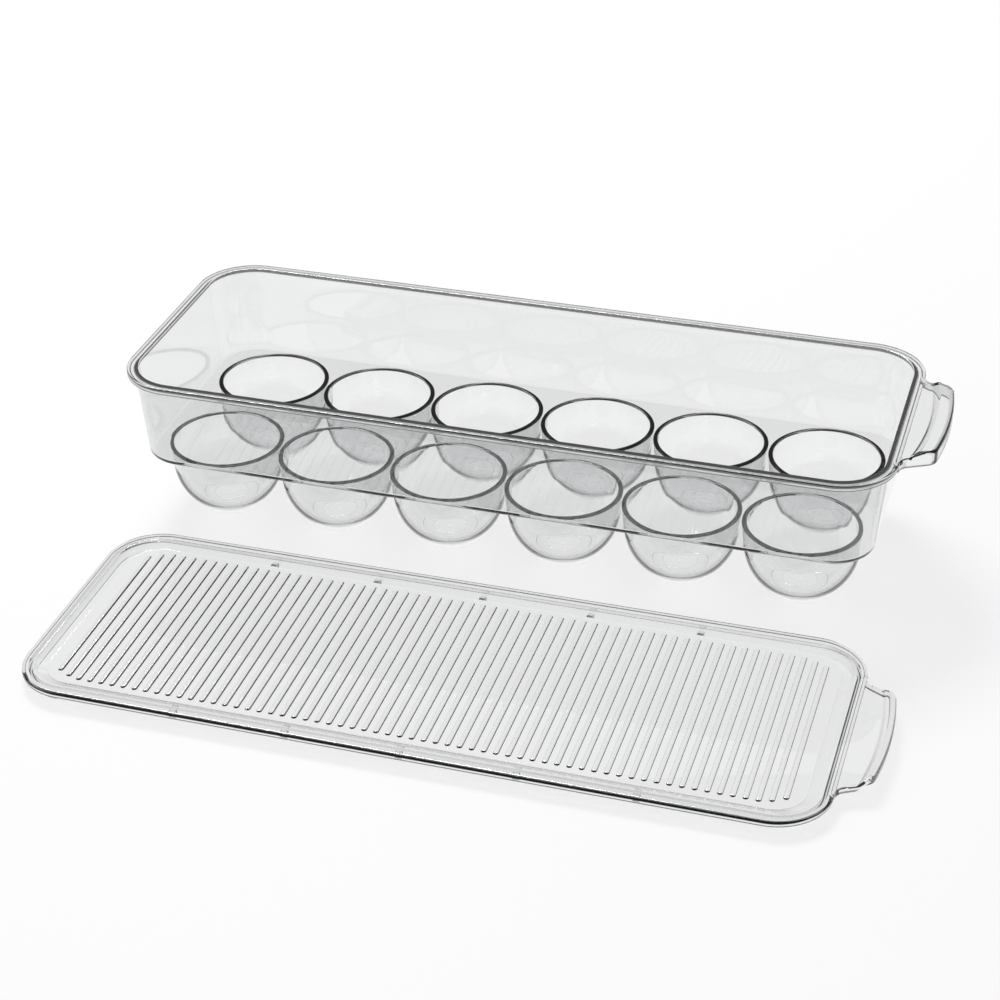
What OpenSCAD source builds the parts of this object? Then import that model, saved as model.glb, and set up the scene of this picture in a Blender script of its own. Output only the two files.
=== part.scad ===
// Egg keeper: a clear tray with twelve egg cups and a lift-off ribbed lid.
// The lid lies on the table in front of the tray, right side up.
// Millimetres. Z is up, X runs along the tray, the handles point to +X.
// The origin is at the bottom centre of the box around both pieces.

/* [Node] */
// which sub-part to draw

/* [Tray] */
// length of the tray over its rim, without the handle
tray_l = 323.8; // [322:0.5:330]
// width of the tray over its rim
tray_w = 121.8; // [120:0.5:128]
// height of the rim above the table
tray_h = 69; // [60:1:90]
// corner radius of the rim's outer edge
rim_r = 24.2; // [20:0.2:30]
// width of the flat rim flange
flange_w = 4.9; // [4:0.1:6]
// depth of the skirt turned down from the rim
skirt_h = 2.5; // [2:0.1:4]
// plastic thickness of the moulded walls
wall_t = 1.5; // [1.2:0.1:2]
// how far the walls lean in between the rim and the floor
wall_draft = 3.1; // [1:0.1:5]
// outside radius where the wall meets the floor
bottom_round = 2; // [1.6:0.1:2.2]

/* [Egg cups] */
// cups along the tray
cups_x = 6;
// cups across the tray
cups_y = 2;
// distance between cups along the tray
pitch_x = 50; // [49.6:0.1:51]
// distance between the two rows
pitch_y = 54.4; // [51:0.1:56]
// radius of a cup's mouth
mouth_r = 22.7; // [22.5:0.1:23]
// small rounding of the mouth's edge
mouth_round = 0.4; // [0.2:0.1:0.8]
// top of the floor plate above the table
plate_z = 30.4; // [28:0.1:34]
// thickness of the floor plate
plate_t = 1.6; // [1.4:0.1:2]
// radius of the bowl's outside
bowl_r = 23.8; // [23:0.1:23.8]
// radius of the bowl's inside
bowl_in_r = 22.4; // [21.5:0.1:22.6]
// outside radius of the thick collar just under the floor plate
collar_r = 24.6; // [24.2:0.1:24.7]
// radius of the flat foot under each cup
foot_r = 13; // [11:0.5:14]
// height of the small step around the foot
foot_h = 0.8; // [0.4:0.1:1]
// radius of the flat spot inside each cup
seat_r = 7.7; // [6:0.1:9]
// thickness of the plastic at the cup's bottom
seat_t = 1.5; // [1.2:0.1:2]
// depth of the small step around the flat spot
seat_step = 0.3; // [0.1:0.1:0.4]
// radius of the moulding dimple at the cup's centre
gate_r = 2; // [1:0.1:2.5]
// depth of the moulding dimple
gate_d = 0.4; // [0.2:0.1:0.6]

/* [Handles] */
// how far the tray handle reaches beyond the rim
grip_reach = 15.2; // [14:0.1:16]
// width of a handle over its arms, at the rim
grip_w = 68; // [66:1:72]
// width of a handle over its outer corners
grip_end_w = 59; // [56:1:62]
// radius of the handle's outer edge, one long shallow arc
grip_arc_r = 150; // [140:10:200]
// corner radius of the handle's outer corners
grip_corner_r = 6; // [5:0.5:7]
// radius of the hollow fillet where an arm flows into the rim
grip_fillet_r = 5; // [4:0.5:7]
// how far the grip bar's crest stands above the rim
bar_rise = 2.2; // [1.5:0.1:2.4]
// how far the bar's top falls from its crest to its outer edge
bar_fall = 0.3; // [0:0.1:0.4]
// where the tray handle's web starts to rise, from the rim
rise_at = 6.2; // [5:0.1:7]
// width of the S-shaped rise
rise_w = 3.6; // [2:0.1:4]
// depth of the handle's turned-down lip below the rim
lip_h = 4; // [3:0.1:5]

/* [Lid] */
// length of the lid over its rim, without the handle
lid_l = 316.6; // [316:0.2:319]
// width of the lid over its rim
lid_w = 117.6; // [117:0.2:118]
// corner radius of the lid rim
lid_r = 22.2; // [20:0.2:24]
// height of the lid from table to rim top
lid_h = 6.4; // [6:0.1:8]
// width of the lid's rim flange
lid_flange_w = 4.6; // [4:0.1:4.8]
// depth of the lid's skirt and of its handle's lip
lid_skirt_h = 2.4; // [2:0.1:2.4]
// how far the panel lies below the rim's top
panel_drop = 1.9; // [1:0.1:2.5]
// width of the slope between rim and panel
step_w = 5; // [3:0.1:6]
// clearance between the locating wall and the tray wall
seat_gap = 1.1; // [0.8:0.1:1.6]
// how far the lid handle reaches beyond the lid's rim
lid_reach = 14.8; // [14:0.1:16]
// depth of the lip round the lid handle, which follows its upper line
lid_lip_h = 2.3; // [2:0.1:2.3]

/* [Ribs] */
// ribs across the lid
rib_n = 62;
// distance between ribs
rib_pitch = 4.65; // [4:0.05:4.7]
// width of one rib, whose top is half round
rib_w = 2.2; // [1.6:0.1:2.4]
// height of one rib above the panel
rib_h = 1.3; // [1.2:0.1:1.9]
// half the length of a full rib
rib_half = 46.3; // [40:0.1:47]
// how much shorter the first and the last rib are at each end
rib_trim = 3.8; // [0:0.1:6]
// gussets along each long side, under the lid
gusset_n = 5;
// distance between gussets
gusset_pitch = 45; // [40:1:50]
// width of one gusset
gusset_w = 4; // [2:0.5:6]
// how far a gusset reaches in from the locating wall
gusset_d = 3.5; // [2:0.5:5]

/* [Layout] */
// how far the lid lies in front of the tray, centre to centre
lid_dy = 129.7; // [124:0.1:160]
// how far the lid lies to the right of the tray
lid_dx = 4.9; // [0:0.1:10]
// smoothness of round shapes
smooth = 72; // [48:8:96]

/* [Hidden] */
$fn = smooth;
eps = 0.01;
// box around both pieces, which sets the origin
x_low = -tray_l / 2;
x_high = lid_dx + lid_l / 2 + lid_reach;
y_low = -lid_dy - lid_w / 2;
y_high = tray_w / 2;
tray_x = -(x_low + x_high) / 2;
tray_y = -(y_low + y_high) / 2;
lid_x = tray_x + lid_dx;
lid_y = tray_y - lid_dy;
// undersides and inner levels
plate_low = plate_z - plate_t;
bowl_z = foot_h + sqrt(bowl_r * bowl_r - foot_r * foot_r);
bowl_in_z = seat_t + seat_step + sqrt(bowl_in_r * bowl_in_r - seat_r * seat_r);
// the wall's inner face, measured in from the rim's outer edge
in_top = flange_w;
in_low = flange_w + wall_draft;
// the flat of the floor starts inside the wall's rounded foot
floor_in = in_low - wall_t + bottom_round;
// edge roundings of the mouldings
edge_r = 0.7;
tip_r = 0.5;
// the handles' web and the level of the shoulder outside the crest
web_t = wall_t;
// the lid handle rises just before the tray handle does, so that it rests over it
lid_rise_at = rise_at + (tray_l - lid_l) / 2 - 0.3;
// the lid's plate, and the flat pad under its rim that the locating wall meets
lid_plate_t = 1.5;
panel_in = lid_flange_w + step_w;
pad_in = 6.2;
lid_pad_z = lid_h - 1.8;
rib_sink = 0.2;

clear_tint = [0.90, 0.92, 0.93, 0.45];
lid_tint = [0.88, 0.90, 0.92, 0.45];

// sweeps a 2D section around a rounded rectangle
// the section's X is measured outward from the path's outer edge, so it is negative inside
module sweep_frame(l, w, r) {
    for (sx = [-1, 1], sy = [-1, 1]) {
        start = sx > 0 ? (sy > 0 ? 0 : 270) : (sy > 0 ? 90 : 180);
        translate([sx * (l / 2 - r), sy * (w / 2 - r), 0])
            rotate([0, 0, start])
                rotate_extrude(angle = 90) translate([r, 0]) children();
    }
    for (s = [-1, 1]) {
        translate([s * l / 2, s * (w / 2 - r), 0])
            rotate([90, 0, s > 0 ? 0 : 180])
                linear_extrude(w - 2 * r) children();
        translate([-s * (l / 2 - r), s * w / 2, 0])
            rotate([90, 0, s > 0 ? 90 : 270])
                linear_extrude(l - 2 * r) children();
    }
}

// flat rounded rectangle, inset from the outline by d
module rounded_plan(l, w, r, d) {
    corner = r - d;
    hull()
        for (sx = [-1, 1], sy = [-1, 1])
            translate([sx * (l / 2 - r), sy * (w / 2 - r)]) circle(corner);
}

// points of a rounded corner: centre, radius, start and end angle
function arc(c, r, a0, a1, n = 6) = [for (i = [0 : n]) c + r * [cos(a0 + (a1 - a0) * i / n),
    sin(a0 + (a1 - a0) * i / n)]];

// tray wall: rim flange with turned-down skirt, drafted wall, rounded foot
module wall_section() {
    skirt_z = tray_h - skirt_h;
    under_z = tray_h - wall_t;
    polygon(concat(
        arc([-edge_r, tray_h - edge_r], edge_r, 0, 90),
        arc([-in_top + edge_r, tray_h - edge_r], edge_r, 90, 175),
        [[-in_low, plate_z], [-floor_in, plate_z], [-floor_in, plate_low]],
        arc([-floor_in, plate_low + bottom_round], bottom_round, -90, -5),
        arc([-in_top + wall_t + edge_r, under_z - edge_r], edge_r, 175, 90),
        arc([-wall_t - edge_r, under_z - edge_r], edge_r, 90, 0),
        [[-wall_t, skirt_z], [0, skirt_z]]));
}

module tray_wall() {
    color(clear_tint)
        translate([tray_x, tray_y, 0]) sweep_frame(tray_l, tray_w, rim_r) wall_section();
}

function cup_x(i) = (i % cups_x - (cups_x - 1) / 2) * pitch_x;
function cup_y(i) = (floor(i / cups_x) - (cups_y - 1) / 2) * pitch_y;

// the cutter of one cup mouth, with its small edge rounding
module mouth_cutter() {
    rotate_extrude() difference() {
        translate([0, plate_low - 1]) square([mouth_r + mouth_round, plate_t + 2]);
        translate([mouth_r, plate_low - 2]) square([1, plate_t + 2 - mouth_round]);
        translate([mouth_r + mouth_round, plate_z - mouth_round]) circle(mouth_round);
    }
}

module tray_floor() {
    color(clear_tint) translate([tray_x, tray_y, 0]) difference() {
        translate([0, 0, plate_low])
            linear_extrude(plate_t) rounded_plan(tray_l, tray_w, rim_r, floor_in);
        for (i = [0 : cups_x * cups_y - 1])
            translate([cup_x(i), cup_y(i), 0]) mouth_cutter();
    }
}

// one cup: a bowl of revolution hanging from the floor plate
module egg_cup(i) {
    color(clear_tint)
        translate([tray_x + cup_x(i), tray_y + cup_y(i), 0])
            rotate_extrude() polygon(concat(
                [[0, 0], [foot_r, 0]],
                arc([0, bowl_z], bowl_r, -acos(foot_r / bowl_r), 0, 20),
                [[collar_r, plate_low], [mouth_r, plate_low]],
                arc([0, bowl_in_z], bowl_in_r, 0, -acos(seat_r / bowl_in_r), 20),
                [[seat_r, seat_t], [gate_r, seat_t], [gate_r / 2, seat_t - gate_d],
                 [0, seat_t - gate_d]]));
}

// the arm's slope in plan, so that it runs from the rim into the corner circle
function grip_corner(reach) = let (r = grip_corner_r, y = grip_end_w / 2 - r)
    [reach - grip_arc_r + sqrt((grip_arc_r - r) * (grip_arc_r - r) - y * y), y];
function grip_slant(reach) = let (c = grip_corner(reach), y = c[1] - grip_w / 2)
    -atan2(y, c[0]) - asin(grip_corner_r / norm([c[0], y]));

// plan of a handle beyond a rim whose outer edge is at x = 0, inset by d
// two arms leave the rim in hollow fillets and meet the long arc in round corners
module grip_plan(reach, d) {
    slant = grip_slant(reach);
    corner = grip_corner(reach);
    back = -d - 1;
    back_y = grip_w / 2 - d / cos(slant) - back * tan(slant);
    flare = grip_fillet_r + d;
    flare_y = grip_w / 2 + grip_fillet_r * (1 / cos(slant) - tan(slant));
    touch_x = grip_fillet_r - flare * sin(slant);
    difference() {
        union() {
            hull() {
                for (s = [-1, 1]) translate([corner[0], s * corner[1]]) circle(grip_corner_r - d);
                translate([back, -back_y]) square([eps, 2 * back_y]);
            }
            intersection() {
                translate([reach - grip_arc_r, 0]) circle(grip_arc_r - d, $fn = 360);
                translate([corner[0] - 1, -corner[1]]) square([grip_arc_r, 2 * corner[1]]);
            }
            translate([-d, -flare_y]) square([touch_x + d, 2 * flare_y]);
        }
        for (s = [-1, 1]) translate([grip_fillet_r, s * flare_y]) circle(flare);
    }
}

// upper line of a handle's long section: flat web, S-shaped rise, grip bar
// f is where the rise starts, and z = 0 is the rim's top
function grip_line(reach, f) = concat([[-4, 0]],
    [for (i = [0 : 8]) [f + rise_w * i / 8, bar_rise * (1 - cos(180 * i / 8)) / 2]],
    [[reach + 1, bar_rise - bar_fall]]);
function lowered(line, d) = [for (i = [len(line) - 1 : -1 : 0]) line[i] - [0, d]];

// sweeps a long section around the centre of the handle's outer arc
module grip_sweep(reach) {
    half_angle = asin((grip_w / 2 + 2 * grip_fillet_r) / (grip_arc_r - grip_w / 4));
    translate([reach - grip_arc_r, 0, 0]) rotate([0, 0, -half_angle])
        rotate_extrude(angle = 2 * half_angle, $fn = 360)
            translate([grip_arc_r - reach, 0]) children();
}

// a shelled handle: web and grip bar with a turned-down lip all round
// the lip ends at level -lip, or follows the upper line lip_follow below it
module grip(reach, f, lip, lip_follow) {
    line = grip_line(reach, f);
    lip_line = lip_follow > 0 ? lowered(line, lip_follow) : [[reach + 1, -lip], [-4, -lip]];
    intersection() {
        translate([0, 0, -lip]) linear_extrude(lip + bar_rise + 1) grip_plan(reach, 0);
        translate([0, -grip_w, -lip]) cube([2 * reach, 2 * grip_w, lip + bar_rise + 1]);
        union() {
            grip_sweep(reach) polygon(concat(line, lowered(line, web_t)));
            difference() {
                grip_sweep(reach) polygon(concat(line, lip_line));
                translate([0, 0, -lip - 1]) linear_extrude(lip + bar_rise + 2)
                    grip_plan(reach, web_t);
            }
        }
    }
}

module tray_handle() {
    color(clear_tint) translate([tray_x + tray_l / 2, tray_y, tray_h])
        grip(grip_reach, rise_at, lip_h, 0);
}

// lid rim: flange with a turned-down skirt outside and a long slope to the panel inside
module lid_rim_section() {
    top = lid_h;
    polygon(concat(
        arc([-edge_r, top - edge_r], edge_r, 0, 90),
        arc([-lid_flange_w, top - tip_r], tip_r, 90, 110),
        [[-panel_in, top - panel_drop], [-panel_in, top - panel_drop - lid_plate_t],
         [-pad_in, lid_pad_z], [-wall_t, lid_pad_z],
         [-wall_t, top - lid_skirt_h], [0, top - lid_skirt_h]]));
}

module lid_rim() {
    color(lid_tint)
        translate([lid_x, lid_y, 0]) sweep_frame(lid_l, lid_w, lid_r) lid_rim_section();
}

// one half-round rib with round ends lying across the panel, sunk a little into it
module lid_rib(half) {
    r = rib_w / 2;
    half_section = concat([[0, -rib_sink], [r, -rib_sink]], arc([0, rib_h - r], r, 0, 90, 5));
    straight = half - r;
    translate([0, straight, 0]) rotate([90, 0, 0]) linear_extrude(2 * straight) {
        polygon(half_section);
        mirror([1, 0]) polygon(half_section);
    }
    for (s = [-1, 1]) translate([0, s * straight, 0]) rotate([0, 0, s > 0 ? 0 : 180])
        rotate_extrude(angle = 180, $fn = 16) polygon(half_section);
}

module lid_panel() {
    panel_top = lid_h - panel_drop;
    color(lid_tint) translate([lid_x, lid_y, 0]) {
        translate([0, 0, panel_top - lid_plate_t])
            linear_extrude(lid_plate_t) rounded_plan(lid_l, lid_w, lid_r, panel_in);
        for (i = [0 : rib_n - 1]) {
            from_end = min(i, rib_n - 1 - i);
            trim = from_end == 0 ? rib_trim : from_end == 1 ? rib_trim / 3 : 0;
            translate([(i - (rib_n - 1) / 2) * rib_pitch, 0, panel_top]) lid_rib(rib_half - trim);
        }
    }
}

// the wall under the lid that drops inside the tray
module lid_locating_wall() {
    inset = in_top + seat_gap;
    color(lid_tint) translate([lid_x, lid_y, 0])
        sweep_frame(tray_l - 2 * inset, tray_w - 2 * inset, rim_r - inset)
            polygon([[-0.4, 0], [0, lid_pad_z], [-wall_t, lid_pad_z], [-wall_t, 0]]);
}

// small gussets on the inside of the locating wall
module lid_gussets() {
    face_y = tray_w / 2 - in_top - seat_gap - wall_t;
    color(lid_tint) translate([lid_x, lid_y, 0])
        for (i = [0 : gusset_n - 1], s = [-1, 1])
            translate([(i - (gusset_n - 1) / 2) * gusset_pitch - gusset_w / 2, 0, 0])
                rotate([90, 0, 90]) linear_extrude(gusset_w)
                    polygon([[s * face_y, 0.4], [s * face_y, 3], [s * (face_y - gusset_d), 3],
                        [s * (face_y - gusset_d * 0.6), 1.2]]);
}

module lid_handle() {
    color(lid_tint) translate([lid_x + lid_l / 2, lid_y, lid_h])
        grip(lid_reach, lid_rise_at, lid_skirt_h, lid_lip_h);
}

tray_wall();
tray_floor();
for (i = [0 : cups_x * cups_y - 1])
    egg_cup(i);
tray_handle();
lid_panel();
lid_rim();
lid_locating_wall();
lid_gussets();
lid_handle();
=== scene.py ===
"""Egg keeper: a clear tray with twelve egg cups behind its clear, ribbed lift-off lid.

Each moulding is made here as one closed mesh, because clear plastic shows every inner seam.
Sections are swept round the rims, cups are revolved, and the pieces are joined into one skin.
Lengths are written in millimetres, as in the part's source, and turned into metres by mm().
"""

import math

import bpy
import bmesh
from mathutils import Matrix, Vector


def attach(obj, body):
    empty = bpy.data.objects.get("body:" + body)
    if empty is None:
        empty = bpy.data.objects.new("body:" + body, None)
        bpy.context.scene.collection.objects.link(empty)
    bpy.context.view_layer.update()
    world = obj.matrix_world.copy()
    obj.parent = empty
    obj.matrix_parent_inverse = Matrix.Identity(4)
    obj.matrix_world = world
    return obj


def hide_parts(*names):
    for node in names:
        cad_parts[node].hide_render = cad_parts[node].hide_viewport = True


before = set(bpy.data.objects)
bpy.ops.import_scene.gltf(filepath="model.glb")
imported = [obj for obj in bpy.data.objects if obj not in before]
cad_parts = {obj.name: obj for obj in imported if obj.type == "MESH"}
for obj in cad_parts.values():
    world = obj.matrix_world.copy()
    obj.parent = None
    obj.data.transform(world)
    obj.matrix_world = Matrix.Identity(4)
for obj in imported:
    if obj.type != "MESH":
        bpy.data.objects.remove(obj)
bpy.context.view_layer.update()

# the tray, in mm

TRAY_L, TRAY_W, TRAY_H = 323.8, 121.8, 69.0
RIM_R = 24.2
FLANGE_W = 4.9
SKIRT_H = 2.5
WALL_T = 1.5
WALL_DRAFT = 3.1
WALL_LEAN = 5
FOOT_ROUND = 2.0
TRAY_EDGE_R, TRAY_FLOOR_R = 0.7, 0.8
SKIRT_IN_R, SKIRT_END_R = 0.4, 0.3
FLOOR_LAP = 0.6

# the egg cups

CUPS_X, CUPS_Y = 6, 2
PITCH_X, PITCH_Y = 50.0, 54.4
MOUTH_R, MOUTH_ROUND = 22.7, 0.24
PLATE_TOP, PLATE_T = 30.4, 1.6
BOWL_R, BOWL_IN_R, BOWL_IN_RISE = 23.8, 22.4, 0.85
COLLAR_R, COLLAR_LAP = 24.6, 0.3
FOOT_R, FOOT_H, FOOT_EDGE_R = 13.0, 0.8, 0.25
EASE_Z = 4.2
SEAT_R, SEAT_T, ROUND_SEAT_T = 7.7, 1.3, 1.9
BEAD_R, BEAD_GAP = 0.5, 0.05
GATE_R, GATE_D = 2.0, 0.4
SMALL_EDGE = 0.1

# the handles

GRIP_W, GRIP_END_W = 68.0, 59.0
GRIP_ARC_R = 150.0
GRIP_CORNER_R = 6.0
GRIP_FILLET_R = 5.0
GRIP_LIP_T = 2.0
GRIP_EDGE_START, GRIP_EDGE_R = 0.7, 1.35
GRIP_BEVEL, BEVEL_ANGLE = 0.35, 35
GRIP_REACH, LID_REACH = 15.2, 14.8
GRIP_OVERLAP = 3.0
TRAY_LIP, LID_LIP = 4.0, 2.3
BAR_RISE, BAR_FALL = 2.2, 0.3
RISE_W = 3.6
TRAY_RISE_AT = 6.2

# how far the handles' blocks and cutters run past what they shape

BLOCK_BACK, BLOCK_PAST, BLOCK_BELOW = 6.0, 2, 1
CORE_BACK, CUTTER_TOP = 9.0, 9

# the lid

LID_L, LID_W, LID_H = 316.6, 117.6, 6.4
LID_R = 22.2
LID_FLANGE_W = 4.6
LID_SKIRT = 2.4
LID_PLATE_T = 1.5
LID_EDGE_R, LID_SLOPE_R = 1.2, 2.0
PANEL_DROP, PANEL_LAP = 1.9, 0.6
STEP_W = 5.0
PAD_IN, PAD_DROP = 6.2, 1.8
PAD_Z = LID_H - PAD_DROP
SEAT_GAP = 1.1
LOCATING_DRAFT, LOCATING_EDGE, LOCATING_LAP = 0.4, 0.3, 0.4

RIB_N, RIB_PITCH = 62, 4.65
RIB_W, RIB_H, RIB_LAP = 2.2, 0.55, 0.25
RIB_HALF, RIB_TRIM = 46.3, 3.8
GUSSET_N, GUSSET_PITCH, GUSSET_W, GUSSET_D = 5, 45.0, 2.4, 3.0
GUSSET_LOW, GUSSET_KNEE, GUSSET_TOP = 0.4, 1.2, 3.2
GUSSET_KNEE_SHARE, GUSSET_LAP = 0.6, 0.3

# where both mouldings lie: the origin is at the bottom centre of the box round them

LID_DX, LID_DY = 4.9, 129.7
TRAY_X = -(LID_DX + LID_L / 2 + LID_REACH - TRAY_L / 2) / 2
TRAY_Y = (LID_DY + LID_W / 2 - TRAY_W / 2) / 2
LID_X, LID_Y = TRAY_X + LID_DX, TRAY_Y - LID_DY
GRIP_NEST = 0.3
LID_RISE_AT = TRAY_RISE_AT + (TRAY_L - LID_L) / 2 - GRIP_NEST

# how finely round stretches are drawn, and from what angle on an edge stays sharp

REVOLVE_STEPS = 96
CORNER_STEPS = 20
ROUND_STEPS, SMALL_STEPS = 5, 3
BOWL_STEPS, BOWL_IN_STEPS, EASE_STEPS, BEAD_STEPS, MOUTH_STEPS = 22, 18, 8, 8, 4
GRIP_CORNER_STEPS, GRIP_ARC_STEPS, GRIP_SWEEP_STEPS, GRIP_EDGE_STEPS, RISE_STEPS = 10, 24, 48, 6, 12
SLOPE_STEPS, RIB_END_STEPS = 4, 8
SHARP_ANGLE = 38

# the clear plastic

PLASTIC_IOR = 1.57
WAVE_SCALE, WAVE_DETAIL, WAVE_STRENGTH, WAVE_DEPTH = 18.0, 1.0, 0.02, 0.001
DEEP_TINT = (0.5, 0.508, 0.51, 1)
TRAY_TINT, TRAY_GREY = (0.96, 0.963, 0.965, 1), 110.0
LID_TINT, LID_GREY = (0.985, 0.987, 0.99, 1), 120.0

# the floor, in metres, and the share of even white that it shows to the eye

FLOOR_R, FLOOR_STEPS = 1.6, 96
FLOOR_COLOUR, FLOOR_ROUGHNESS, FLOOR_SHINE = (0.9, 0.9, 0.9, 1), 0.5, 0.3
FLOOR_SEEN = 0.80

# the room round it: its brightness rises from low to high between two heights of the direction looked in

HORIZON_TOP, CEILING_FROM = 0.15, 0.65
ROOM_LOW, ROOM_HIGH = 0.20, 0.24

# the lamps: name, place and aim in metres, size in metres, power in watts

LAMPS = (("top_box", (-0.70, 1.10, 1.70), (0, 0, 0), (0.9, 0.7), 39),
         ("back_box", (-0.55, 1.60, 0.95), (0, 0, 0.02), (1.5, 0.8), 2),
         ("left_box", (-1.5, -0.3, 0.9), (0, 0, 0.02), (0.8, 1.0), 5))

# the camera, fitted to the photographed cup mouths: degrees, mm from the tray's centre, pixels

CAMERA_YAW, CAMERA_PITCH, CAMERA_ROLL = -16.996, 31.521, -0.526
CAMERA_FROM_TRAY = (240.592, -823.695, 529.750)
FOCAL_PIXELS, IMAGE_PIXELS = 2329.60, 1000.0
SENSOR = 36.0
CLIP_START = 0.05

# the nodes of the CAD frame that each moulding stands in for

TRAY_NODES = ["tray_wall", "tray_floor", "tray_handle"] + [
    "egg_cup_%d" % (i + 1) for i in range(CUPS_X * CUPS_Y)]
LID_NODES = ["lid_panel", "lid_rim", "lid_locating_wall", "lid_gussets", "lid_handle"]


def mm(v):
    """Millimetres as metres."""
    return v / 1000.0


# tools that make and join meshes

def mesh_object(name, points, faces):
    """A mesh object from millimetre points."""
    mesh = bpy.data.meshes.new(name)
    mesh.from_pydata([[mm(c) for c in p] for p in points], [], faces)
    mesh.validate()
    obj = bpy.data.objects.new(name, mesh)
    bpy.context.scene.collection.objects.link(obj)
    bm = bmesh.new()
    bm.from_mesh(mesh)
    bmesh.ops.remove_doubles(bm, verts=bm.verts, dist=1e-7)
    bmesh.ops.recalc_face_normals(bm, faces=bm.faces)
    bm.to_mesh(mesh)
    bm.free()
    return obj


def arc(cx, cy, r, a0, a1, steps=ROUND_STEPS):
    """Points of a rounded corner, from angle a0 to a1 in degrees."""
    return [(cx + r * math.cos(math.radians(a0 + (a1 - a0) * i / steps)),
             cy + r * math.sin(math.radians(a0 + (a1 - a0) * i / steps)))
            for i in range(steps + 1)]


def tube_faces(rings, m, closed):
    """Faces between rings of m points each. A tube that isn't closed gets a cap at both ends."""
    faces = [(i * m + j, i * m + (j + 1) % m,
              (i + 1) % rings * m + (j + 1) % m, (i + 1) % rings * m + j)
             for i in range(rings if closed else rings - 1) for j in range(m)]
    if not closed:
        faces += [list(range(m)), list(range((rings - 1) * m, rings * m))]
    return faces


def frame_path(length, width, r):
    """Places and outward directions round a rounded rectangle."""
    path = []
    for cx, cy, start in ((1, 1, 0), (-1, 1, 90), (-1, -1, 180), (1, -1, 270)):
        for i in range(CORNER_STEPS + 1):
            a = math.radians(start + 90 * i / CORNER_STEPS)
            path.append((cx * (length / 2 - r), cy * (width / 2 - r), math.cos(a), math.sin(a)))
    return path


def sweep_frame(name, length, width, r, section, x0, y0):
    """Sweeps a closed section, measured outward from the rim's edge, round a rounded rectangle."""
    path = frame_path(length, width, r)
    points = [(x0 + cx + (r + u) * dx, y0 + cy + (r + u) * dy, z)
              for cx, cy, dx, dy in path for u, z in section]
    return mesh_object(name, points, tube_faces(len(path), len(section), True))


def revolve(name, profile, x0, y0):
    """Revolves an open profile of (r, z) points whose ends lie on the axis."""
    steps = REVOLVE_STEPS
    points, faces, rings = [], [], []
    for r, z in profile:
        if r == 0:
            rings.append([len(points)])
            points.append((x0, y0, z))
        else:
            rings.append(list(range(len(points), len(points) + steps)))
            points += [(x0 + r * math.cos(2 * math.pi * k / steps),
                        y0 + r * math.sin(2 * math.pi * k / steps), z) for k in range(steps)]
    for a, b in zip(rings, rings[1:]):
        for k in range(steps):
            quad = [a[k % len(a)], a[(k + 1) % len(a)], b[(k + 1) % len(b)], b[k % len(b)]]
            faces.append(list(dict.fromkeys(quad)))
    return mesh_object(name, points, faces)


def prism(name, outline, z0, z1, x0=0.0, y0=0.0):
    """A closed prism over a plan outline."""
    n = len(outline)
    points = [(x0 + x, y0 + y, z) for z in (z0, z1) for x, y in outline]
    faces = [list(range(n)), list(range(n, 2 * n))]
    faces += [(i, (i + 1) % n, n + (i + 1) % n, n + i) for i in range(n)]
    return mesh_object(name, points, faces)


def boolean(target, other, operation):
    """Applies one boolean and removes the cutter."""
    mod = target.modifiers.new("cut", "BOOLEAN")
    mod.operation = operation
    mod.object = other
    mod.solver = "MANIFOLD"
    bake(target)
    bpy.data.objects.remove(other)


def bake(obj):
    """Applies an object's modifiers to its own mesh."""
    graph = bpy.context.evaluated_depsgraph_get()
    mesh = bpy.data.meshes.new_from_object(obj.evaluated_get(graph))
    obj.modifiers.clear()
    obj.data = mesh


def join(name, parts):
    """Moves several meshes that don't touch each other into one object."""
    bm = bmesh.new()
    for part in parts:
        bm.from_mesh(part.data)
        bpy.data.objects.remove(part)
    mesh = bpy.data.meshes.new(name)
    bm.to_mesh(mesh)
    bm.free()
    obj = bpy.data.objects.new(name, mesh)
    bpy.context.scene.collection.objects.link(obj)
    return obj


def bevel(obj, width):
    """Rounds an object's sharp edges."""
    mod = obj.modifiers.new("round", "BEVEL")
    mod.width = mm(width)
    mod.segments = SMALL_STEPS
    mod.limit_method = "ANGLE"
    mod.angle_limit = math.radians(BEVEL_ANGLE)
    mod.use_clamp_overlap = True
    bake(obj)


def rounded_outline(length, width, r):
    """Plan of a rounded rectangle."""
    return [(cx + r * dx, cy + r * dy) for cx, cy, dx, dy in frame_path(length, width, r)]


# the handles

def grip_outline(reach, inset, overlap):
    """Plan of a handle: hollow fillets at the rim, converging arms, round corners, a long arc."""
    arm = GRIP_W / 2
    arc_x = reach - GRIP_ARC_R
    corner_y = GRIP_END_W / 2 - GRIP_CORNER_R
    corner_x = arc_x + math.sqrt((GRIP_ARC_R - GRIP_CORNER_R) ** 2 - corner_y ** 2)
    run = math.hypot(corner_x, arm - corner_y)
    slant = math.atan2(arm - corner_y, corner_x) - math.asin(GRIP_CORNER_R / run)
    tilt = math.degrees(slant)
    turn = math.degrees(math.atan2(corner_y, corner_x - arc_x))
    flare_y = arm + GRIP_FILLET_R * (1 / math.cos(slant) - math.tan(slant))
    half = [(-overlap, flare_y)]
    half += arc(GRIP_FILLET_R, flare_y, GRIP_FILLET_R + inset, 180, 270 - tilt, GRIP_CORNER_STEPS)
    half += arc(corner_x, corner_y, GRIP_CORNER_R - inset, 90 - tilt, turn, GRIP_CORNER_STEPS)
    half += arc(arc_x, 0, GRIP_ARC_R - inset, turn, 0, GRIP_ARC_STEPS)[1:]
    return half + [(x, -y) for x, y in reversed(half[:-1])]


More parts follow.
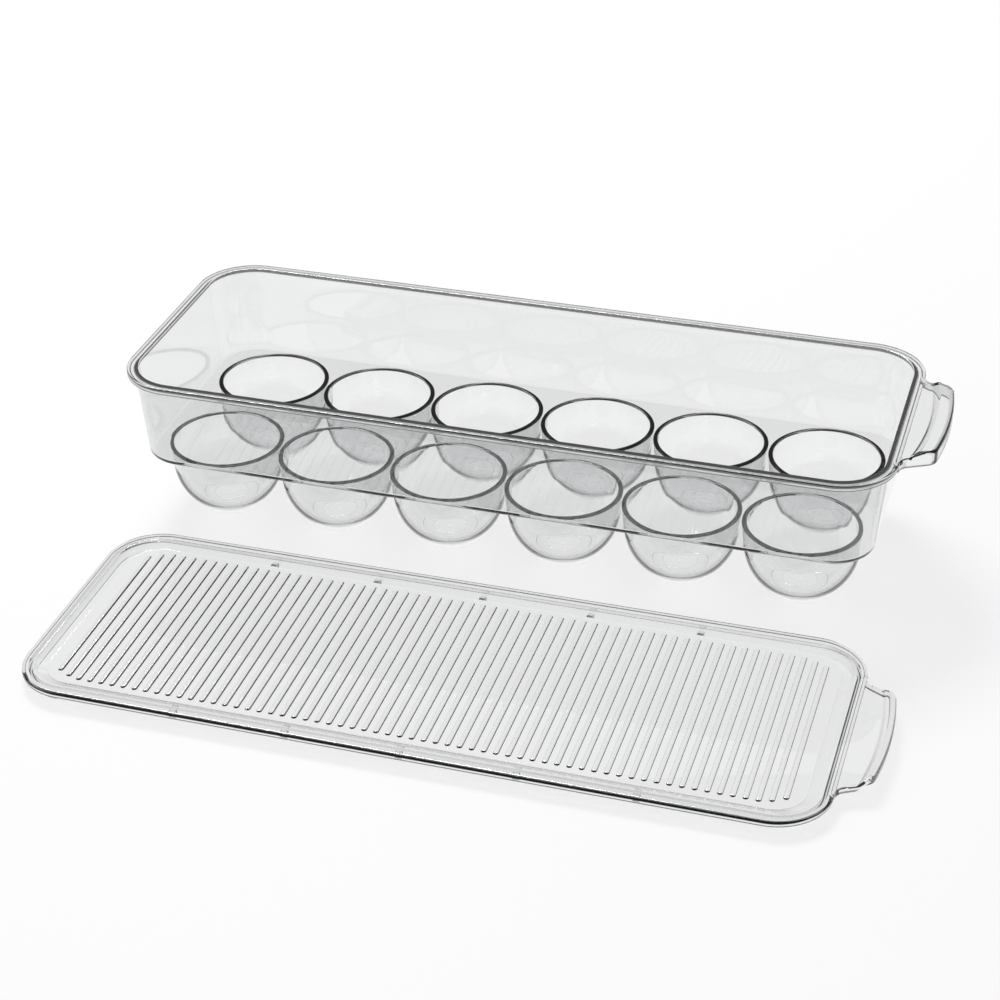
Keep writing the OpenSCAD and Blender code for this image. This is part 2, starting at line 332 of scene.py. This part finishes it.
def grip_line(reach, start):
    """Upper line of a handle's long section, from the rim to beyond the lip."""
    rise = [(start + RISE_W * t, BAR_RISE * (1 - math.cos(math.pi * t)) / 2)
            for t in [i / RISE_STEPS for i in range(RISE_STEPS + 1)]]
    return [(-BLOCK_BACK, 0.0)] + rise + [(reach + BLOCK_PAST, BAR_RISE - BAR_FALL)]


def grip_sweep(name, reach, section):
    """Sweeps a long section round the centre of the handle's outer arc."""
    cx = reach - GRIP_ARC_R
    half_angle = math.asin((GRIP_W / 2 + 2 * GRIP_FILLET_R) / (GRIP_ARC_R - GRIP_W / 4))
    points = []
    for i in range(GRIP_SWEEP_STEPS + 1):
        a = half_angle * (2 * i / GRIP_SWEEP_STEPS - 1)
        points += [(cx + (u - cx) * math.cos(a), (u - cx) * math.sin(a), z) for u, z in section]
    return mesh_object(name, points, tube_faces(GRIP_SWEEP_STEPS + 1, len(section), False))


def line_height(line, u):
    """Height of a handle's upper line at the distance u from the rim."""
    for (u0, z0), (u1, z1) in zip(line, line[1:]):
        if u <= u1:
            return z0 + (z1 - z0) * (u - u0) / (u1 - u0)
    return line[-1][1]


def edge_cutter(name, reach, line):
    """What the rounding of a handle's upper edge takes away, along its whole outline.

    Its section is drawn for a radius of 1: inward from the edge, and up from the upper line.
    """
    edge = grip_outline(reach, 0.0, 0.0)[1:-1]
    inner = grip_outline(reach, 1.0, 0.0)[1:-1]
    cx = reach - GRIP_ARC_R
    quarter = [math.pi / 2 * k / GRIP_EDGE_STEPS for k in range(GRIP_EDGE_STEPS + 1)]
    section = ([(-1.0, 1.0), (1.0, 1.0)] + [(1 - math.sin(a), math.cos(a) - 1) for a in quarter]
               + [(-1.0, -1.0)])
    points = []
    for (x, y), (xi, yi) in zip(edge, inner):
        r = GRIP_EDGE_START + (GRIP_EDGE_R - GRIP_EDGE_START) * min(max(x / GRIP_FILLET_R, 0), 1)
        for d, h in section:
            px, py = x + (xi - x) * d * r, y + (yi - y) * d * r
            u = math.hypot(px - cx, py) + cx
            points.append((px, py, line_height(line, u) + h * r))
    return mesh_object(name, points, tube_faces(len(edge), len(section), False))


def grip(name, reach, start, lip, follow, at):
    """A shelled handle: web and grip bar over a turned-down lip.

    The lip ends at a level, or follows the upper line if follow is set.
    """
    line = grip_line(reach, start)
    low = lip + BLOCK_BELOW
    band = grip_sweep(name, reach, line + [(u, z - WALL_T) for u, z in reversed(line)])
    lip_line = ([(u, z - follow) for u, z in reversed(line)] if follow
                else [(reach + BLOCK_PAST, -low), (-BLOCK_BACK, -low)])
    block = grip_sweep(name + "_block", reach, line + lip_line)
    core = prism("core", grip_outline(reach, GRIP_LIP_T, CORE_BACK), -low - BLOCK_BELOW, CUTTER_TOP)
    boolean(block, core, "DIFFERENCE")
    boolean(band, block, "UNION")
    plan = prism("plan", grip_outline(reach, 0.0, GRIP_OVERLAP), -lip, CUTTER_TOP)
    boolean(band, plan, "INTERSECT")
    boolean(band, edge_cutter("edge", reach, line), "DIFFERENCE")
    bevel(band, GRIP_BEVEL)
    band.data.transform(Matrix.Translation([mm(c) for c in at]))
    return band


# the tray

def skirt_end(skirt):
    """The rounded lower end of a rim's skirt, whose height is given, from its inside outwards."""
    return (arc(-WALL_T + SKIRT_END_R, skirt + SKIRT_END_R, SKIRT_END_R, 180, 270, SMALL_STEPS)
            + arc(-SKIRT_END_R, skirt + SKIRT_END_R, SKIRT_END_R, -90, 0, SMALL_STEPS))


def tray_section():
    """Section of the tray wall, from the rim's rounded edge to the floor."""
    edge = TRAY_EDGE_R
    inner_low = FLANGE_W + WALL_DRAFT
    floor_in = inner_low - WALL_T + FOOT_ROUND + FLOOR_LAP
    plate_low = PLATE_TOP - PLATE_T
    under = TRAY_H - WALL_T
    lean = 180 - WALL_LEAN
    return (arc(-edge, TRAY_H - edge, edge, 0, 90)
            + arc(-FLANGE_W + edge, TRAY_H - edge, edge, 90, lean)
            + arc(-inner_low - TRAY_FLOOR_R, PLATE_TOP + TRAY_FLOOR_R, TRAY_FLOOR_R, -WALL_LEAN, -90)
            + [(-floor_in, PLATE_TOP), (-floor_in, plate_low)]
            + arc(-inner_low + WALL_T - FOOT_ROUND, plate_low + FOOT_ROUND, FOOT_ROUND, -90, -WALL_LEAN)
            + arc(-FLANGE_W + WALL_T + edge, under - edge, edge, lean, 90)
            + arc(-WALL_T - SKIRT_IN_R, under - SKIRT_IN_R, SKIRT_IN_R, 90, 0)
            + skirt_end(TRAY_H - SKIRT_H))


def bowl_ease(inner_z):
    """How a cup's inside eases out of its sphere into the flat round the seat.

    It is one curve through three points: where it leaves the sphere, where the sphere's slope there
    meets the flat, and the flat's end at the bead.
    """
    turn = math.asin((inner_z - EASE_Z) / BOWL_IN_R)
    start_r = BOWL_IN_R * math.cos(turn)
    knee_r = start_r - (EASE_Z - ROUND_SEAT_T) * math.tan(turn)
    end_r = SEAT_R + BEAD_R + BEAD_GAP
    curve = [(start_r * (1 - t) ** 2 + 2 * knee_r * t * (1 - t) + end_r * t * t,
              EASE_Z * (1 - t) ** 2 + ROUND_SEAT_T * (2 * t * (1 - t) + t * t))
             for t in [k / EASE_STEPS for k in range(1, EASE_STEPS + 1)]]
    return arc(0, inner_z, BOWL_IN_R, 0, -math.degrees(turn), BOWL_IN_STEPS) + curve


def cup_profile():
    """Outer and inner line of one cup, from the foot round the collar to the seat and its gate mark."""
    plate_low = PLATE_TOP - PLATE_T
    lap_top = plate_low + COLLAR_LAP
    bowl_z = FOOT_H + math.sqrt(BOWL_R ** 2 - FOOT_R ** 2)
    foot_turn = math.degrees(math.acos(FOOT_R / BOWL_R))
    gate_z = SEAT_T - GATE_D
    return ([(0, 0)] + arc(FOOT_R - FOOT_EDGE_R, FOOT_EDGE_R, FOOT_EDGE_R, -90, 0, SMALL_STEPS)
            + arc(0, bowl_z, BOWL_R, -foot_turn, 0, BOWL_STEPS)
            + [(COLLAR_R, plate_low), (COLLAR_R, lap_top), (MOUTH_R, lap_top)]
            + bowl_ease(bowl_z + BOWL_IN_RISE)
            + arc(SEAT_R, ROUND_SEAT_T, BEAD_R, 0, 180, BEAD_STEPS)
            + [(SEAT_R - BEAD_R, SEAT_T + SMALL_EDGE), (SEAT_R - BEAD_R - SMALL_EDGE, SEAT_T)]
            + [(GATE_R + SMALL_EDGE, SEAT_T), (GATE_R, SEAT_T - SMALL_EDGE)]
            + [(GATE_R, gate_z), (0, gate_z)])


def mouth_profile():
    """Cutter of one cup mouth with its rounded edge."""
    top = PLATE_TOP - MOUTH_ROUND
    above = PLATE_TOP + 1
    return ([(0, PLATE_TOP - PLATE_T), (MOUTH_R, PLATE_TOP - PLATE_T)]
            + arc(MOUTH_R + MOUTH_ROUND, top, MOUTH_ROUND, 180, 90, MOUTH_STEPS)
            + [(MOUTH_R + MOUTH_ROUND, above), (0, above)])


def make_tray():
    """The tray: wall and rim, floor plate, open cups and handle in one skin."""
    floor_in = FLANGE_W + WALL_DRAFT - WALL_T + FOOT_ROUND
    centres = [(TRAY_X + (i - (CUPS_X - 1) / 2) * PITCH_X, TRAY_Y + (j - (CUPS_Y - 1) / 2) * PITCH_Y)
               for i in range(CUPS_X) for j in range(CUPS_Y)]
    tray = sweep_frame("tray", TRAY_L, TRAY_W, RIM_R, tray_section(), TRAY_X, TRAY_Y)
    outline = rounded_outline(TRAY_L - 2 * floor_in, TRAY_W - 2 * floor_in, RIM_R - floor_in)
    plate = prism("plate", outline, PLATE_TOP - PLATE_T, PLATE_TOP, TRAY_X, TRAY_Y)
    boolean(tray, plate, "UNION")
    cups = join("cups", [revolve("cup", cup_profile(), x, y) for x, y in centres])
    boolean(tray, cups, "UNION")
    mouths = join("mouths", [revolve("mouth", mouth_profile(), x, y) for x, y in centres])
    boolean(tray, mouths, "DIFFERENCE")
    handle = grip("tray_grip", GRIP_REACH, TRAY_RISE_AT, TRAY_LIP, 0.0,
                  (TRAY_X + TRAY_L / 2, TRAY_Y, TRAY_H))
    boolean(tray, handle, "UNION")
    return tray


# the lid

def lid_section():
    """Section of the lid's rim: skirt, flange, slope to the panel, locating wall pad."""
    panel_in = LID_FLANGE_W + STEP_W
    lap_in = panel_in + PANEL_LAP
    panel_z = LID_H - PANEL_DROP
    panel_low = panel_z - LID_PLATE_T
    return (arc(-LID_EDGE_R, LID_H - LID_EDGE_R, LID_EDGE_R, 0, 90)
            + arc(-LID_FLANGE_W, LID_H - LID_SLOPE_R, LID_SLOPE_R, 90, 110, SLOPE_STEPS)
            + [(-panel_in, panel_z), (-lap_in, panel_z), (-lap_in, panel_low), (-panel_in, panel_low)]
            + [(-PAD_IN, PAD_Z), (-WALL_T, PAD_Z)]
            + skirt_end(LID_H - LID_SKIRT))


def locating_section():
    """Section of the wall under the lid that drops inside the tray, from its lower outer edge."""
    top = PAD_Z + LOCATING_LAP
    return [(-LOCATING_DRAFT - LOCATING_EDGE, 0), (-LOCATING_DRAFT, LOCATING_EDGE), (0, top),
            (-WALL_T, top), (-WALL_T, LOCATING_EDGE), (-WALL_T + LOCATING_EDGE, 0)]


def rib(x, half):
    """One low, rounded rib with round ends across the panel."""
    r = RIB_W / 2
    panel_z = LID_H - PANEL_DROP
    turns = [math.radians(d) for d in range(0, 81, 10)]
    layers = [(r, panel_z - RIB_LAP)] + [(r * math.cos(a), panel_z + RIB_H * math.sin(a)) for a in turns]
    straight = half - r
    points = []
    for width, z in layers:
        for s, base in ((1, 0), (-1, 180)):
            for k in range(RIB_END_STEPS + 1):
                a = math.radians(base + 180 * k / RIB_END_STEPS)
                points.append((LID_X + x + width * math.cos(a),
                               LID_Y + s * straight + width * math.sin(a), z))
    return mesh_object("rib", points, tube_faces(len(layers), 2 * (RIB_END_STEPS + 1), False))


def make_ribs():
    """All ribs across the panel, shorter where its corners turn in."""
    ribs = []
    for i in range(RIB_N):
        from_end = min(i, RIB_N - 1 - i)
        trim = RIB_TRIM if from_end == 0 else RIB_TRIM / 3 if from_end == 1 else 0
        ribs.append(rib((i - (RIB_N - 1) / 2) * RIB_PITCH, RIB_HALF - trim))
    return join("ribs", ribs)


def make_gussets(face_y):
    """The small webs between the panel and the locating wall's inner faces."""
    faces = [(0, 1, 2, 3), (4, 5, 6, 7), (0, 1, 5, 4), (1, 2, 6, 5), (2, 3, 7, 6), (3, 0, 4, 7)]
    outer = face_y + GUSSET_LAP
    side = [(outer, GUSSET_LOW), (outer, GUSSET_TOP), (face_y - GUSSET_D, GUSSET_TOP),
            (face_y - GUSSET_D * GUSSET_KNEE_SHARE, GUSSET_KNEE)]
    gussets = []
    for i in range(GUSSET_N):
        for s in (-1, 1):
            x = LID_X + (i - (GUSSET_N - 1) / 2) * GUSSET_PITCH - GUSSET_W / 2
            points = [(x + dx, LID_Y + s * y, z) for dx in (0, GUSSET_W) for y, z in side]
            gussets.append(mesh_object("gusset", points, faces))
    return join("gussets", gussets)


def make_lid():
    """The lid: rim, ribbed panel, locating wall, gussets and handle in one skin."""
    panel_in = LID_FLANGE_W + STEP_W
    panel_z = LID_H - PANEL_DROP
    lid = sweep_frame("lid", LID_L, LID_W, LID_R, lid_section(), LID_X, LID_Y)
    outline = rounded_outline(LID_L - 2 * panel_in, LID_W - 2 * panel_in, LID_R - panel_in)
    panel = prism("panel", outline, panel_z - LID_PLATE_T, panel_z, LID_X, LID_Y)
    boolean(lid, panel, "UNION")
    inset = FLANGE_W + SEAT_GAP
    wall = sweep_frame("wall", TRAY_L - 2 * inset, TRAY_W - 2 * inset, RIM_R - inset,
                       locating_section(), LID_X, LID_Y)
    boolean(lid, wall, "UNION")
    boolean(lid, make_ribs(), "UNION")
    boolean(lid, make_gussets(TRAY_W / 2 - inset - WALL_T), "UNION")
    handle = grip("lid_grip", LID_REACH, LID_RISE_AT, LID_SKIRT, LID_LIP,
                  (LID_X + LID_L / 2, LID_Y, LID_H))
    boolean(lid, handle, "UNION")
    return lid


# the materials

def clear_plastic(name, tint, grey):
    """Clear moulded polystyrene: faint flow waviness in its surface, greyer where it is deep."""
    mat = bpy.data.materials.new(name)
    mat.use_nodes = True
    nodes, links = mat.node_tree.nodes, mat.node_tree.links
    shader = nodes["Principled BSDF"]
    shader.inputs["Base Color"].default_value = tint
    shader.inputs["Roughness"].default_value = 0.0
    shader.inputs["IOR"].default_value = PLASTIC_IOR
    shader.inputs["Transmission Weight"].default_value = 1.0
    coords = nodes.new("ShaderNodeTexCoord")
    noise = nodes.new("ShaderNodeTexNoise")
    noise.inputs["Scale"].default_value = WAVE_SCALE
    noise.inputs["Detail"].default_value = WAVE_DETAIL
    bump = nodes.new("ShaderNodeBump")
    bump.inputs["Strength"].default_value = WAVE_STRENGTH
    bump.inputs["Distance"].default_value = WAVE_DEPTH
    links.new(coords.outputs["Object"], noise.inputs["Vector"])
    links.new(noise.outputs["Fac"], bump.inputs["Height"])
    links.new(bump.outputs["Normal"], shader.inputs["Normal"])
    depth = nodes.new("ShaderNodeVolumeAbsorption")
    depth.inputs["Color"].default_value = DEEP_TINT
    depth.inputs["Density"].default_value = grey
    links.new(depth.outputs["Volume"], nodes["Material Output"].inputs["Volume"])
    return mat


def math_node(nodes, operation):
    """A maths node that does one operation."""
    node = nodes.new("ShaderNodeMath")
    node.operation = operation
    return node


def floor_material():
    """Pale floor: near white to the eye with a soft shadow, white in shine and through plastic."""
    mat = bpy.data.materials.new("floor")
    mat.use_nodes = True
    nodes, links = mat.node_tree.nodes, mat.node_tree.links
    shader = nodes["Principled BSDF"]
    shader.inputs["Base Color"].default_value = FLOOR_COLOUR
    shader.inputs["Roughness"].default_value = FLOOR_ROUGHNESS
    shader.inputs["Specular IOR Level"].default_value = FLOOR_SHINE
    glow = nodes.new("ShaderNodeEmission")
    glow.inputs["Color"].default_value = (1, 1, 1, 1)
    glow.inputs["Strength"].default_value = 1.0
    path = nodes.new("ShaderNodeLightPath")
    bent = math_node(nodes, "MAXIMUM")
    seen = math_node(nodes, "MULTIPLY")
    seen.inputs[1].default_value = FLOOR_SEEN
    share = math_node(nodes, "MAXIMUM")
    mix = nodes.new("ShaderNodeMixShader")
    links.new(path.outputs["Is Glossy Ray"], bent.inputs[0])
    links.new(path.outputs["Is Transmission Ray"], bent.inputs[1])
    links.new(path.outputs["Is Camera Ray"], seen.inputs[0])
    links.new(bent.outputs[0], share.inputs[0])
    links.new(seen.outputs[0], share.inputs[1])
    links.new(share.outputs[0], mix.inputs["Fac"])
    links.new(shader.outputs["BSDF"], mix.inputs[1])
    links.new(glow.outputs["Emission"], mix.inputs[2])
    links.new(mix.outputs["Shader"], nodes["Material Output"].inputs["Surface"])
    return mat


def finish_piece(obj, name, mat, body, nodes):
    """Names, smooths, dresses and places one moulding on its body."""
    obj.name = name
    obj.data.materials.clear()
    obj.data.materials.append(mat)
    for poly in obj.data.polygons:
        poly.use_smooth = True
    mod = obj.modifiers.new("normals", "WEIGHTED_NORMAL")
    mod.keep_sharp = True
    obj.data.set_sharp_from_angle(angle=math.radians(SHARP_ANGLE))
    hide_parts(*nodes)
    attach(obj, body)


# the studio

def make_floor():
    """A round floor under the object, which is no part of it."""
    bpy.ops.mesh.primitive_circle_add(vertices=FLOOR_STEPS, radius=FLOOR_R, fill_type="NGON",
                                      location=(0, 0, 0))
    floor = bpy.context.object
    floor.name = "floor"
    floor.data.materials.append(floor_material())


def area_light(name, place, target, size, power):
    """A soft box aimed at a point. It shows in the plastic's shine, but not through the plastic."""
    data = bpy.data.lights.new(name, "AREA")
    data.shape = "RECTANGLE"
    data.size, data.size_y = size
    data.energy = power
    obj = bpy.data.objects.new(name, data)
    obj.location = place
    obj.rotation_euler = (Vector(target) - Vector(place)).to_track_quat("-Z", "Y").to_euler()
    obj.visible_transmission = False
    bpy.context.scene.collection.objects.link(obj)


def make_world():
    """A studio room: a little brighter above than round the horizon, and white to the eye."""
    world = bpy.data.worlds.new("studio")
    bpy.context.scene.world = world
    world.use_nodes = True
    nodes, links = world.node_tree.nodes, world.node_tree.links
    background = nodes["Background"]
    background.inputs["Color"].default_value = (1, 1, 1, 1)
    coords = nodes.new("ShaderNodeTexCoord")
    split = nodes.new("ShaderNodeSeparateXYZ")
    height = nodes.new("ShaderNodeMapRange")
    height.interpolation_type = "SMOOTHSTEP"
    height.inputs["From Min"].default_value = HORIZON_TOP
    height.inputs["From Max"].default_value = CEILING_FROM
    height.inputs["To Min"].default_value = ROOM_LOW
    height.inputs["To Max"].default_value = ROOM_HIGH
    path = nodes.new("ShaderNodeLightPath")
    total = math_node(nodes, "MAXIMUM")
    links.new(coords.outputs["Generated"], split.inputs[0])
    links.new(split.outputs["Z"], height.inputs["Value"])
    links.new(height.outputs["Result"], total.inputs[0])
    links.new(path.outputs["Is Camera Ray"], total.inputs[1])
    links.new(total.outputs[0], background.inputs["Strength"])


def make_camera():
    """The photograph's camera, placed from the tray's centre."""
    yaw, pitch, roll = (math.radians(a) for a in (CAMERA_YAW, CAMERA_PITCH, CAMERA_ROLL))
    forward = Vector((math.sin(yaw) * math.cos(pitch), math.cos(yaw) * math.cos(pitch),
                      -math.sin(pitch)))
    right = Vector((math.cos(yaw), -math.sin(yaw), 0))
    up = right.cross(forward)
    right_r = right * math.cos(roll) + up * math.sin(roll)
    up_r = -right * math.sin(roll) + up * math.cos(roll)
    data = bpy.data.cameras.new("camera")
    data.sensor_width = SENSOR
    data.lens = FOCAL_PIXELS / IMAGE_PIXELS * SENSOR
    data.clip_start = CLIP_START
    cam = bpy.data.objects.new("camera", data)
    rot = Matrix((right_r, up_r, -forward)).transposed().to_4x4()
    place = Vector([mm(c) for c in CAMERA_FROM_TRAY]) + Vector((mm(TRAY_X), mm(TRAY_Y), 0))
    cam.matrix_world = Matrix.Translation(place) @ rot
    bpy.context.scene.collection.objects.link(cam)
    bpy.context.scene.camera = cam


tray_mat = clear_plastic("clear_tray", TRAY_TINT, TRAY_GREY)
lid_mat = clear_plastic("clear_lid", LID_TINT, LID_GREY)
finish_piece(make_tray(), "clear_tray", tray_mat, "tray", TRAY_NODES)
finish_piece(make_lid(), "clear_lid", lid_mat, "lid", LID_NODES)

make_floor()
for lamp in LAMPS:
    area_light(*lamp)
make_world()
make_camera()
bpy.context.scene.view_settings.view_transform = "Standard"
